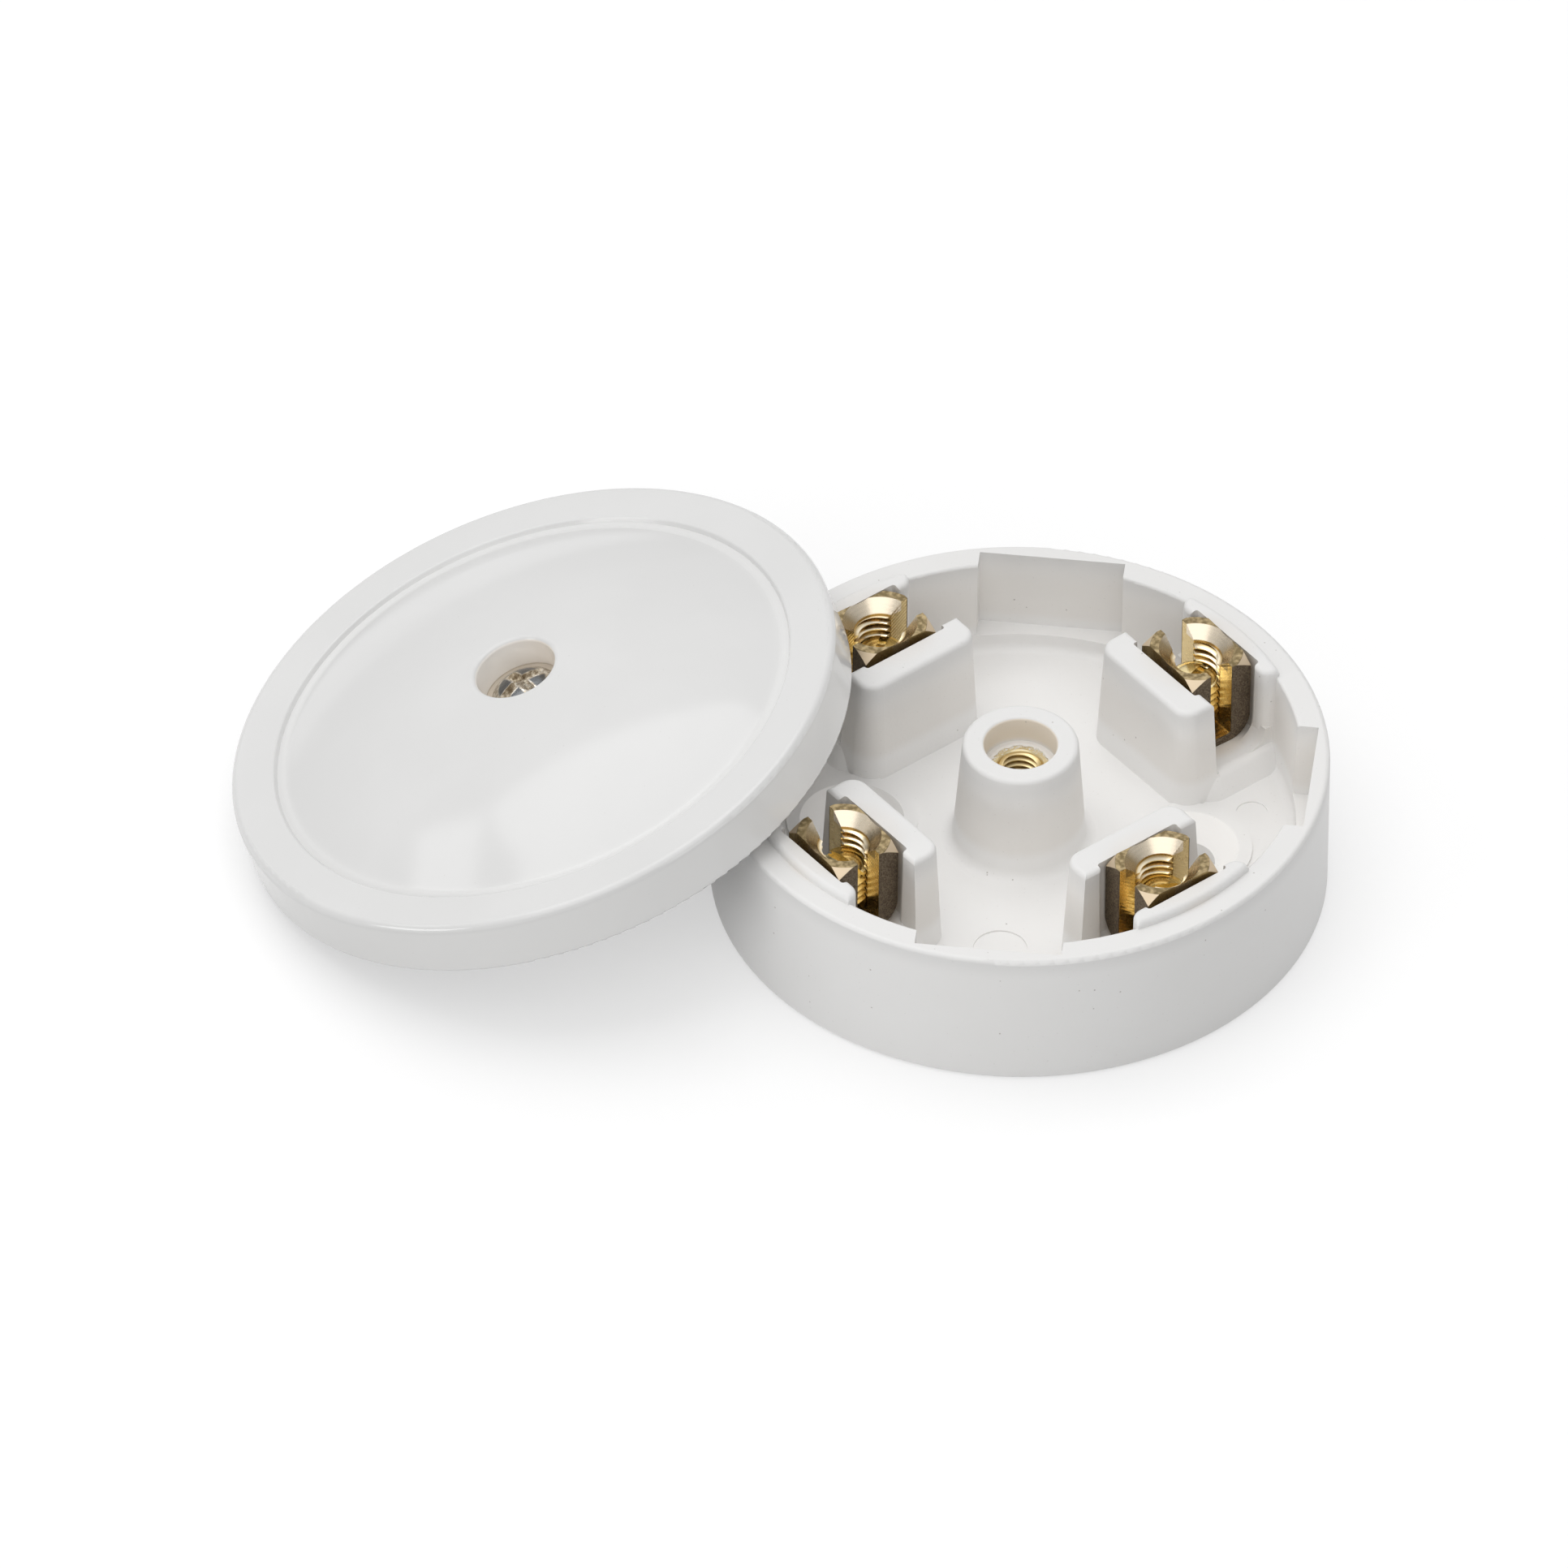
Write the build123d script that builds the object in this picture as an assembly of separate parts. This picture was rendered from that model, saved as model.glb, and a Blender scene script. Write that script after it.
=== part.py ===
from build123d import *
import math
import os

# Round junction box with four screw terminals, its cover lying off and leaning on the rim.
# Millimetres and degrees, +Z up, origin at the centre of the base's underside.
# The knock-out walls face +X, +Y, -X and -Y, and the terminals stand on the diagonals.

# Base shell
base_radius = 29.5
rim_height = 15.0
wall_thickness = 2.75
wall_draft = 2.2
floor_height = 4.4
floor_thickness = 2.4
standing_ring_width = 3.0
rim_edge_round = 0.45
rim_inner_round = 0.3
foot_chamfer = 0.3
floor_corner_round = 0.9

# Knock-out walls, cut thin from the inside down to a ledge
knockout_width = 14.0
knockout_wall = 1.67
knockout_depth = 8.75

# Terminal pockets: an inner wall, an outer rib on the shell and a plinth between them
terminal_turn = -3.0
pocket_wall_height = 15.85
pocket_half_length = 6.7
inner_wall_thickness = 2.75
pocket_gap_inner = 0.55
pocket_gap_outer = 0.45
wing_reach = 0.72
wing_gap = 0.65
pocket_draft = 1.0
inner_wall_draft = 3.2
inner_wall_corner = 1.7
pocket_edge_round = 0.55
pocket_corner_round = 0.3
pocket_foot_round = 2.0
rib_corner = 1.3
rib_thickness = 1.7
rib_seat_step = 0.35
plinth_height = 7.0
plinth_overhang = 0.4
plinth_draft = 22.0
plinth_corner = 1.2
plinth_edge_round = 1.0

# Screw boss and its threaded insert
boss_height = 16.2
boss_radius_top = 5.55
boss_radius_foot = 6.4
boss_edge_round = 0.5
boss_foot_round = 1.1
boss_counterbore_radius = 3.5
boss_counterbore_depth = 2.85
boss_mouth_round = 0.3
insert_radius = 2.8
insert_length = 7.0
insert_top_drop = 0.05
insert_thread_radius = 2.0
insert_mouth_chamfer = 0.3
well_below_insert = 2.4

# Fixing holes on the X axis
fixing_distance = 16.05
fixing_hole_radius = 2.75
fixing_sink_radius = 5.0
fixing_pad_radius = 6.3
fixing_pad_height = 0.25
fixing_sink_depth = 1.9
fixing_stem_radius = 4.8

# Round marks that the mould's pins leave in the floor: x, y, radius
pin_marks = [(0, -16.2, 2.6), (21.7, 5.9, 1.5), (-21.7, -5.9, 1.5)]
pin_mark_depth = 0.15

# Terminal block: a U channel cut to length, bored and tapped from the top
block_width = 6.9
block_length = 8.2
block_height = 9.4
block_slot_width = 2.5
block_bridge = 0.9
block_heel_round = 2.4
block_slot_round = 0.4
block_bore_radius = 2.5
block_bore_end_gap = 0.1
block_ring_radius = 4.45
block_ring_width = 0.85
block_sink_depth = 1.15

# Terminal screw
screw_clearance = 0.04
screw_length = 3.3
screw_dome = 0.5
screw_end_gap = 1.4
screw_tip_chamfer = 0.4
screw_slot_width = 0.8
screw_slot_depth = 1.0
screw_slot_turns = {"front_right": 70, "back_right": 20, "back_left": 130, "front_left": 100}

# Cover, drawn with its open side down and its skirt's edge at height 0
cover_skirt = 5.75
cover_skirt_thickness = 2.95
cover_wall = 2.2
cover_edge_round = 0.7
cover_fit_gap = 0.3
cover_band_width = 4.35
cover_step = 0.45
cover_step_run = 0.25
cover_step_round = 0.25
cover_trough_width = 0.75
cover_trough_round = 1.2
cover_dome_rise = 5.75
cover_well_radius = 3.95
cover_well_round = 0.45
cover_seat_height = 7.55
cover_seat_thickness = 2.4
cover_boss_radius = 6.2
cover_screw_hole_radius = 2.15
cover_rib_width = 1.6
cover_rib_relief_radius = 9.0
cover_ribs = 4

# Cover screw
head_radius = 3.25
head_height = 1.55
head_edge = 0.25
head_slot_width = 0.9
head_slot_depth = 0.9
head_seat_gap = 0.02
head_turn = 40.0
shank_radius = 1.95
shank_length = 14.0
shank_tip_chamfer = 0.5

# How the cover lies: its skirt on the surface, one rib on the base's rim
cover_lean = 18.7
cover_lean_azimuth = 182.7
cover_slip = 2.83

QUARTERS = {"front_right": -45, "back_right": 45, "back_left": 135, "front_left": 225}
OVERSIZE = 1.0
STANDING = (Align.CENTER, Align.CENTER, Align.MIN)
HANGING = (Align.CENTER, Align.CENTER, Align.MAX)

# Sizes that follow from the driving ones
wall_radius = base_radius - wall_thickness
rib_seat_radius = wall_radius + rib_seat_step
ledge_height = rim_height - knockout_depth
wall_lean = math.tan(math.radians(wall_draft))
pocket_outer = rib_seat_radius - rib_thickness
terminal_distance = pocket_outer - pocket_gap_outer - block_width / 2
pocket_inner = terminal_distance - block_width / 2 - pocket_gap_inner
pocket_half_gap = block_length / 2 + wing_gap
inner_wall_face = pocket_inner - inner_wall_thickness
block_slot_floor = plinth_height + block_bridge
block_bore_floor = block_slot_floor + block_bore_end_gap
block_top = plinth_height + block_height
screw_bottom = block_bore_floor + screw_end_gap
screw_radius = block_bore_radius - screw_clearance
insert_seat = boss_height - boss_counterbore_depth
insert_top = insert_seat - insert_top_drop
insert_bottom = insert_top - insert_length
cover_inner_radius = rib_seat_radius + cover_fit_gap
cover_radius = cover_inner_radius + cover_skirt_thickness
cover_band_radius = cover_radius - cover_band_width
cover_trough_radius = cover_band_radius - cover_step_run
cover_dome_radius = cover_trough_radius - cover_trough_width
cover_dome_foot = cover_skirt - cover_step


def polar(angle):
    """A frame turned about the box's axis, so that X points outwards."""
    return Rotation(0, 0, angle)


def shell():
    """The round tray: outer wall, floor and standing ring as one turned form."""
    wall_at_floor = wall_radius - (rim_height - floor_height) * wall_lean
    section = Polyline(
        (0, floor_height - floor_thickness),
        (base_radius - standing_ring_width, floor_height - floor_thickness),
        (base_radius - standing_ring_width, 0),
        (base_radius, 0),
        (base_radius, rim_height),
        (wall_radius, rim_height),
        (wall_at_floor, floor_height),
        (0, floor_height),
        close=True,
    )
    face = make_face(section)
    outer_top = face.vertices().sort_by_distance((base_radius, rim_height, 0))[0]
    face = fillet(outer_top, rim_edge_round)
    inner_top = face.vertices().sort_by_distance((wall_radius, rim_height, 0))[0]
    face = fillet(inner_top, rim_inner_round)
    inner_foot = face.vertices().sort_by_distance((wall_at_floor, floor_height, 0))[0]
    face = fillet(inner_foot, floor_corner_round)
    outer_foot = face.vertices().sort_by_distance((base_radius, 0, 0))[0]
    face = chamfer(outer_foot, foot_chamfer)
    return revolve(Plane.XZ * face, Axis.Z)


def knockout(angle):
    """The cut that thins the wall to a flat panel above its ledge."""
    reach = base_radius - knockout_wall
    height = rim_height - ledge_height + OVERSIZE
    cut = Box(reach, knockout_width, height, align=(Align.MIN, Align.CENTER, Align.MIN))
    return polar(angle) * Pos(0, 0, ledge_height) * cut


def drafted(face, top, bottom, draft):
    """A plan face, drawn at its top height and widening downwards."""
    return extrude(Pos(0, 0, top) * face, amount=top - bottom, dir=(0, 0, -1), taper=-draft)


def plan_rectangle(near, far, half_length):
    """A rectangle in a quarter's frame, from one distance to another."""
    return Pos((near + far) / 2, 0) * Rectangle(far - near, 2 * half_length)


def top_edges(solid):
    """The edges that bound a solid's flat top."""
    return solid.faces().sort_by(Axis.Z)[-1].edges()


def inner_wall():
    """The pocket's wall on the side of the boss, with wings round the block's corners."""
    plan = plan_rectangle(inner_wall_face, pocket_inner + wing_reach, pocket_half_length)
    corners = plan.vertices().group_by(Axis.X)[0]
    plan = fillet(corners, inner_wall_corner)
    wall = drafted(plan, pocket_wall_height, floor_height - OVERSIZE, inner_wall_draft)
    return fillet(top_edges(wall), pocket_edge_round)


def outer_rib():
    """The rib on the shell behind the block; its round back stands above the rim and centres the cover."""
    plan = plan_rectangle(pocket_outer - wing_reach, base_radius, pocket_half_length) & Circle(rib_seat_radius)
    plan = fillet(plan.vertices().group_by(Axis.X)[0], rib_corner)
    rib = drafted(plan, pocket_wall_height, floor_height, pocket_draft)
    return fillet(top_edges(rib), pocket_edge_round)


def plinth():
    """The raised floor that the block stands on."""
    half = pocket_half_length + plinth_overhang
    plan = plan_rectangle(pocket_inner, wall_radius, half) & Circle(wall_radius)
    plan = fillet(plan.vertices().group_by(Axis.X)[0], plinth_corner)
    block = drafted(plan, plinth_height, floor_height - OVERSIZE, plinth_draft)
    edges = top_edges(block).sort_by(Axis.X)[:-1]
    return fillet(edges, plinth_edge_round) & Cylinder(wall_radius, rim_height, align=STANDING)


def pocket_void():
    """The space for the block: a wide middle between the wings, open at both ends."""
    middle = plan_rectangle(pocket_inner, pocket_outer, pocket_half_gap)
    through = plan_rectangle(pocket_inner + wing_reach, pocket_outer - wing_reach, pocket_half_length + OVERSIZE)
    plan = middle + through
    corners = [corner for corner in plan.vertices() if abs(corner.Y) < pocket_half_length]
    plan = fillet(corners, pocket_corner_round)
    height = pocket_wall_height - plinth_height
    return extrude(Pos(0, 0, pocket_wall_height) * plan, amount=height, dir=(0, 0, -1), taper=pocket_draft)


def pocket_foot(side):
    """The hollow round where the plinth meets one wing of the rib."""
    wing_face = pocket_outer - wing_reach
    edge = pocket_foot_round
    corner = Pos((wing_reach - edge) / 2, 0) * Rectangle(edge + wing_reach, 2 * edge)
    section = Pos(wing_face, plinth_height) * (corner - Pos(-edge, edge) * Circle(edge))
    length = pocket_half_length - pocket_half_gap
    bar = extrude(Plane.XZ * section, amount=length / 2, both=True)
    return Pos(0, side * (pocket_half_gap + length / 2), 0) * bar


def boss():
    """The conical screw boss with its foot round, down into the floor."""
    skirt = boss_radius_foot + boss_foot_round + OVERSIZE
    section = Polyline(
        (0, floor_height - OVERSIZE),
        (skirt, floor_height - OVERSIZE),
        (skirt, floor_height),
        (boss_radius_foot, floor_height),
        (boss_radius_top, boss_height),
        (0, boss_height),
        close=True,
    )
    face = make_face(section)
    foot = face.vertices().sort_by_distance((boss_radius_foot, floor_height, 0))[0]
    face = fillet(foot, boss_foot_round)
    top = face.vertices().sort_by_distance((boss_radius_top, boss_height, 0))[0]
    face = fillet(top, boss_edge_round)
    return revolve(Plane.XZ * face, Axis.Z)


def boss_bore():
    """The counterbore, the insert's seat and the blind well for the screw's tip."""
    mouth = boss_counterbore_radius + boss_mouth_round
    outline = [
        Polyline(
            (mouth, boss_height),
            (mouth, boss_height + OVERSIZE),
            (0, boss_height + OVERSIZE),
            (0, insert_bottom - well_below_insert),
            (insert_thread_radius, insert_bottom - well_below_insert),
            (insert_thread_radius, insert_bottom),
            (insert_radius, insert_bottom),
            (insert_radius, insert_seat),
            (boss_counterbore_radius, insert_seat),
            (boss_counterbore_radius, boss_height - boss_mouth_round),
        ),
        RadiusArc((boss_counterbore_radius, boss_height - boss_mouth_round), (mouth, boss_height), boss_mouth_round),
    ]
    return revolve(Plane.XZ * make_face(outline), Axis.Z)


def fixing_pad(side):
    """A low round pad on the floor, with a stem below that reaches the surface behind."""
    pad_top = floor_height + fixing_pad_height
    pad = Cylinder(fixing_pad_radius, fixing_pad_height + OVERSIZE, align=HANGING)
    stem = Cylinder(fixing_stem_radius, floor_height, align=STANDING)
    return Pos(side * fixing_distance, 0, 0) * (Pos(0, 0, pad_top) * pad + stem)


def fixing_bore(side):
    """The countersunk hole for a wood screw."""
    pad_top = floor_height + fixing_pad_height
    section = Polyline(
        (0, -OVERSIZE),
        (fixing_hole_radius, -OVERSIZE),
        (fixing_hole_radius, pad_top - fixing_sink_depth),
        (fixing_sink_radius, pad_top),
        (fixing_sink_radius, pad_top + OVERSIZE),
        (0, pad_top + OVERSIZE),
        close=True,
    )
    return Pos(side * fixing_distance, 0, 0) * revolve(Plane.XZ * make_face(section), Axis.Z)


def base():
    body = shell()
    for angle in (0, 90, 180, 270):
        body -= knockout(angle)
    for angle in QUARTERS.values():
        body += polar(angle) * plinth()
        body += polar(angle) * outer_rib()
        body += polar(angle) * inner_wall()
        body -= polar(angle) * pocket_void()
        for side in (-1, 1):
            body += polar(angle) * pocket_foot(side)
    core = Cylinder(boss_radius_foot, floor_height, align=STANDING)
    body += boss() + core
    for side in (-1, 1):
        body += fixing_pad(side)
        body -= fixing_bore(side)
    body -= boss_bore()
    for x, y, radius in pin_marks:
        body -= Pos(x, y, floor_height) * Cylinder(radius, 2 * pin_mark_depth)
    return body


def boss_insert():
    """The threaded bush; its bore is drawn plain at the thread's outer diameter."""
    mouth = insert_thread_radius + insert_mouth_chamfer
    section = Polyline(
        (insert_thread_radius, insert_bottom),
        (insert_radius, insert_bottom),
        (insert_radius, insert_top),
        (mouth, insert_top),
        (insert_thread_radius, insert_top - insert_mouth_chamfer),
        close=True,
    )
    return revolve(Plane.XZ * make_face(section), Axis.Z)


def terminal_block():
    """The block at the origin of its quarter: the U's width lies along X, its cut length along Y."""
    outline = plan_rectangle(-block_width / 2, block_width / 2, block_height / 2)
    outline = fillet(outline.vertices().group_by(Axis.Y)[0], block_heel_round)
    slot = Pos(0, block_bridge) * Rectangle(block_slot_width, block_height)
    slot = fillet(slot.vertices().group_by(Axis.Y)[0], block_slot_round)
    channel = extrude(Plane.XZ * (outline - slot), amount=block_length / 2, both=True)
    channel = Pos(0, 0, plinth_height + block_height / 2) * channel
    turned_top = revolve(Plane.XZ * make_face(Polyline(
        (0, plinth_height),
        (block_length, plinth_height),
        (block_length, block_top - (block_length - block_ring_radius)),
        (block_ring_radius, block_top),
        (0, block_top),
        close=True,
    )), Axis.Z)
    bore = revolve(Plane.XZ * make_face(Polyline(
        (0, block_bore_floor),
        (block_bore_radius, block_bore_floor),
        (block_bore_radius, block_top - block_sink_depth),
        (block_ring_radius - block_ring_width, block_top),
        (block_ring_radius - block_ring_width, block_top + OVERSIZE),
        (0, block_top + OVERSIZE),
        close=True,
    )), Axis.Z)
    return (channel & turned_top) - bore


def crowned(radius, edge, crown):
    """The round top of a turned head, from its edge up to the axis."""
    rise = crown - edge
    sphere = (radius ** 2 + rise ** 2) / (2 * rise)
    middle = radius / 2
    return ThreePointArc(
        (radius, edge),
        (middle, crown - sphere + math.sqrt(sphere ** 2 - middle ** 2)),
        (0, crown),
    )


def terminal_screw(slot_turn):
    """The grub screw, plain at its thread's outer diameter, with a domed end and a driver slot."""
    shoulder = screw_bottom + screw_length
    crown = shoulder + screw_dome
    section = make_face(
        Polyline(
            (0, crown),
            (0, screw_bottom),
            (screw_radius - screw_tip_chamfer, screw_bottom),
            (screw_radius, screw_bottom + screw_tip_chamfer),
            (screw_radius, shoulder),
        )
        + crowned(screw_radius, shoulder, crown)
    )
    body = revolve(Plane.XZ * section, Axis.Z)
    slot = Box(3 * screw_radius, screw_slot_width, 2 * screw_slot_depth)
    return body - Pos(0, 0, crown) * Rotation(0, 0, slot_turn) * slot


def at_terminal(angle, piece):
    """Puts a piece drawn on the terminal's axis into its quarter, turned a little in its pocket."""
    return polar(angle) * Pos(terminal_distance, 0, 0) * Rotation(0, 0, terminal_turn) * piece


def dome_height(radius, lift=0.0):
    """Height of the cover's spherical dome at a distance from its axis."""
    sphere = (cover_dome_radius ** 2 + cover_dome_rise ** 2) / (2 * cover_dome_rise)
    centre = cover_dome_foot + cover_dome_rise - sphere
    return centre + math.sqrt((sphere + lift) ** 2 - radius ** 2)


def cover_form():
    """The turned cover: skirt, flat band, step, dome and screw well."""
    mouth = cover_well_radius
    inner_top = cover_skirt - cover_wall
    dome_mid = (cover_dome_radius + mouth) / 2
    under_edge = cover_dome_radius - cover_wall
    under_mid = (under_edge + cover_boss_radius) / 2
    seat_under = cover_seat_height - cover_seat_thickness
    outline = [
        Polyline(
            (cover_radius, 0),
            (cover_radius, cover_skirt),
            (cover_band_radius, cover_skirt),
            (cover_trough_radius, cover_dome_foot),
            (cover_dome_radius, cover_dome_foot),
        ),
        ThreePointArc(
            (cover_dome_radius, cover_dome_foot),
            (dome_mid, dome_height(dome_mid)),
            (mouth, dome_height(mouth)),
        ),
        Polyline(
            (mouth, dome_height(mouth)),
            (mouth, cover_seat_height),
            (cover_screw_hole_radius, cover_seat_height),
            (cover_screw_hole_radius, seat_under),
            (cover_boss_radius, seat_under),
            (cover_boss_radius, dome_height(cover_boss_radius, -cover_wall)),
        ),
        ThreePointArc(
            (cover_boss_radius, dome_height(cover_boss_radius, -cover_wall)),
            (under_mid, dome_height(under_mid, -cover_wall)),
            (under_edge, dome_height(under_edge, -cover_wall)),
        ),
        Polyline(
            (under_edge, dome_height(under_edge, -cover_wall)),
            (under_edge, inner_top),
            (cover_inner_radius, inner_top),
            (cover_inner_radius, 0),
            (cover_radius, 0),
        ),
    ]
    face = make_face(outline)
    rounds = [
        ((cover_radius, cover_skirt), cover_edge_round),
        ((cover_radius, 0), cover_edge_round / 2),
        ((cover_band_radius, cover_skirt), cover_step_round),
        ((cover_dome_radius, cover_dome_foot), cover_trough_round),
        ((mouth, dome_height(mouth)), cover_well_round),
    ]
    for (x, y), radius in rounds:
        face = fillet(face.vertices().sort_by_distance((x, y, 0))[0], radius)
    return revolve(Plane.XZ * face, Axis.Z)


def cover_rib(angle):
    """A stiffening rib from the screw boss to the skirt, level with the skirt's edge."""
    seat_under = cover_seat_height - cover_seat_thickness
    inside = cover_boss_radius - OVERSIZE / 2
    skirt_side = cover_inner_radius + OVERSIZE / 2
    under_edge = cover_dome_radius - cover_wall
    section = make_face(Polyline(
        (inside, seat_under),
        (cover_boss_radius, seat_under),
        (cover_rib_relief_radius, 0),
        (skirt_side, 0),
        (skirt_side, cover_skirt - cover_wall / 2),
        (under_edge, cover_skirt - cover_wall / 2),
        (inside, dome_height(inside, -cover_wall) + cover_wall / 2),
        close=True,
    ))
    return polar(angle) * extrude(Plane.XZ * section, amount=cover_rib_width / 2, both=True)


def cover_place():
    """The frame that the cover lies in, found from its two contacts."""
    lean = math.radians(cover_lean)
    uphill = math.radians(cover_lean_azimuth - 180)
    centre_height = cover_radius * math.sin(lean)
    run = (rim_height - centre_height) / math.tan(lean)
    contact = -base_radius
    along = contact - run
    centre = Vector(
        along * math.cos(uphill) - cover_slip * math.sin(uphill),
        along * math.sin(uphill) + cover_slip * math.cos(uphill),
        centre_height,
    )
    slope = Vector(math.cos(lean) * math.cos(uphill), math.cos(lean) * math.sin(uphill), math.sin(lean))
    normal = Vector(-math.sin(lean) * math.cos(uphill), -math.sin(lean) * math.sin(uphill), math.cos(lean))
    rib_turn = math.degrees(math.atan2(-cover_slip, run / math.cos(lean)))
    return Location(Plane(origin=centre, x_dir=slope, z_dir=normal)), rib_turn


def cover_screw():
    """The cover's screw in the cover's own frame, plain at its thread's outer diameter."""
    seat = cover_seat_height + head_seat_gap
    crown = seat + head_height
    edge = seat + head_edge
    tip = seat - shank_length
    section = make_face(
        Polyline(
            (0, crown),
            (0, tip),
            (shank_radius - shank_tip_chamfer, tip),
            (shank_radius, tip + shank_tip_chamfer),
            (shank_radius, seat),
            (head_radius, seat),
            (head_radius, edge),
        )
        + crowned(head_radius, edge, crown)
    )
    body = revolve(Plane.XZ * section, Axis.Z)
    slot = Box(3 * head_radius, head_slot_width, 2 * head_slot_depth)
    return body - Pos(0, 0, crown) * Rotation(0, 0, head_turn) * slot


def main():
    place, rib_turn = cover_place()
    cover = cover_form()
    for index in range(cover_ribs):
        cover += cover_rib(rib_turn + index * 360 / cover_ribs)
    pieces = {
        "base": base(),
        "boss_insert": boss_insert(),
        "cover": place * cover,
        "cover_screw": place * cover_screw(),
    }
    for name, angle in QUARTERS.items():
        pieces["terminal_" + name] = at_terminal(angle, terminal_block())
        pieces["terminal_screw_" + name] = at_terminal(angle, terminal_screw(screw_slot_turns[name]))
    os.makedirs("parts", exist_ok=True)
    for name, piece in pieces.items():
        solids = piece.solids()
        export_step(solids[0] if len(solids) == 1 else Compound(solids), "parts/" + name + ".step")


main()
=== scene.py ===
import math

import bmesh
import bpy
from mathutils import Matrix, Vector, noise


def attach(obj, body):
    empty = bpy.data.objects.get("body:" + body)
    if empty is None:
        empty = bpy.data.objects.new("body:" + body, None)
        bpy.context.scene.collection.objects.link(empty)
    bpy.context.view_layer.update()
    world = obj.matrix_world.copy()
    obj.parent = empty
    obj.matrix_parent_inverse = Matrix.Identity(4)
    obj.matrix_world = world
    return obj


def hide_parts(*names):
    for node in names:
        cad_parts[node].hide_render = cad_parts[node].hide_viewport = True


# Round junction box with four brass terminals; its cover lies off and leans on the rim.
# Objects, lamps and the camera are in metres; forms and zones are drawn in millimetres and scaled by MM.
# +Z is up, -Y is the front, and the origin is at the centre of the base's underside.

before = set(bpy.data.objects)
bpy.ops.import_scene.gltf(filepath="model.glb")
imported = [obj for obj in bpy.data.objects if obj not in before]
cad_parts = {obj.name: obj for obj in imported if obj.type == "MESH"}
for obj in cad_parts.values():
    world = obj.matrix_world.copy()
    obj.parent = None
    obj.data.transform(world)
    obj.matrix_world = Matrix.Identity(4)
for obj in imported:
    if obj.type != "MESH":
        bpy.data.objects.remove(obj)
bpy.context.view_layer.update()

MM = 0.001

# Base, with the sizes that the part has
BASE_RADIUS = 29.5
RIM_HEIGHT = 15.0
COUNTERBORE_RADIUS = 3.5
INSERT_TOP = 13.3
FIXING_DISTANCE = 16.05
FIXING_SINK_RADIUS = 5.0

# Terminals: where they stand, the sizes of their blocks, and how their screws' slots are turned
TERMINALS = {"front_right": -45, "back_right": 45, "back_left": 135, "front_left": 225}
TERMINAL_DISTANCE = 21.5
TERMINAL_TURN = -3.0
BLOCK_TOP = 16.4
BLOCK_HALF_LENGTH = 4.1
BLOCK_SLOT_HALF_WIDTH = 1.25
BORE_RADIUS = 2.5
RING_RADIUS = 4.45
COUNTERSINK_RADIUS = 3.6
COUNTERSINK_FLOOR = 15.25
SCREW_SLOT_TURNS = {"front_right": 70, "back_right": 20, "back_left": 130, "front_left": 100}
SCREW_SLOT_WIDTH = 0.8
SCREW_SLOT_DEPTH = 1.0

# Cover and its screw, from the cover's own axis
COVER_WELL_RADIUS = 3.95
COVER_SKIRT = 5.75
COVER_SCREW_SEAT = 7.57
COVER_SCREW_CROWN = 9.12
COVER_SCREW_TIP = -6.43
COVER_SCREW_TURN = 40

# Where the cover lies: the centre of its skirt's edge, its axis and its uphill direction
COVER_CENTRE = Vector((-45.151, 0.704, 9.731)) * MM
COVER_AXIS = Vector((-0.32026, -0.01510, 0.94721)).normalized()
COVER_UPHILL = Vector((0.94616, 0.04462, 0.32061)).normalized()

# Thread pitches of the terminal screws, and of the insert and the cover screw
TERMINAL_PITCH = 0.8
COVER_PITCH = 0.7

# Colour of the fine specks in both mouldings, linear red, green and blue as all colours here
SPECK_GREY = (0.40, 0.37, 0.34)

# The colour inputs and the colour output of Blender's Mix node
MIX_COLOURS = (6, 7)
MIX_RESULT = 2


# Places

def terminal_place(quarter):
    """From a terminal's own axis to its quarter of the box."""
    angle = math.radians(TERMINALS[quarter])
    middle = Vector((math.cos(angle), math.sin(angle), 0)) * TERMINAL_DISTANCE * MM
    return Matrix.Translation(middle) @ Matrix.Rotation(angle + math.radians(TERMINAL_TURN), 4, "Z")


def cover_place():
    """From the cover's own axis to where it leans."""
    across = COVER_AXIS.cross(COVER_UPHILL)
    turn = Matrix((COVER_UPHILL, across, COVER_AXIS)).transposed().to_4x4()
    return Matrix.Translation(COVER_CENTRE) @ turn


# Turned and threaded forms, in millimetres until they are placed

def turned(bm, profile, steps):
    """Turns a profile of (radius, height) points round the Z axis."""
    corners = [bm.verts.new((radius, 0, height)) for radius, height in profile]
    sides = [bm.edges.new(pair) for pair in zip(corners, corners[1:])]
    bmesh.ops.spin(bm, geom=corners + sides, cent=(0, 0, 0), axis=(0, 0, 1), angle=2 * math.pi,
                   steps=steps, use_merge=True)
    bmesh.ops.remove_doubles(bm, verts=bm.verts, dist=1e-4)
    bmesh.ops.recalc_face_normals(bm, faces=bm.faces)


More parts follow.
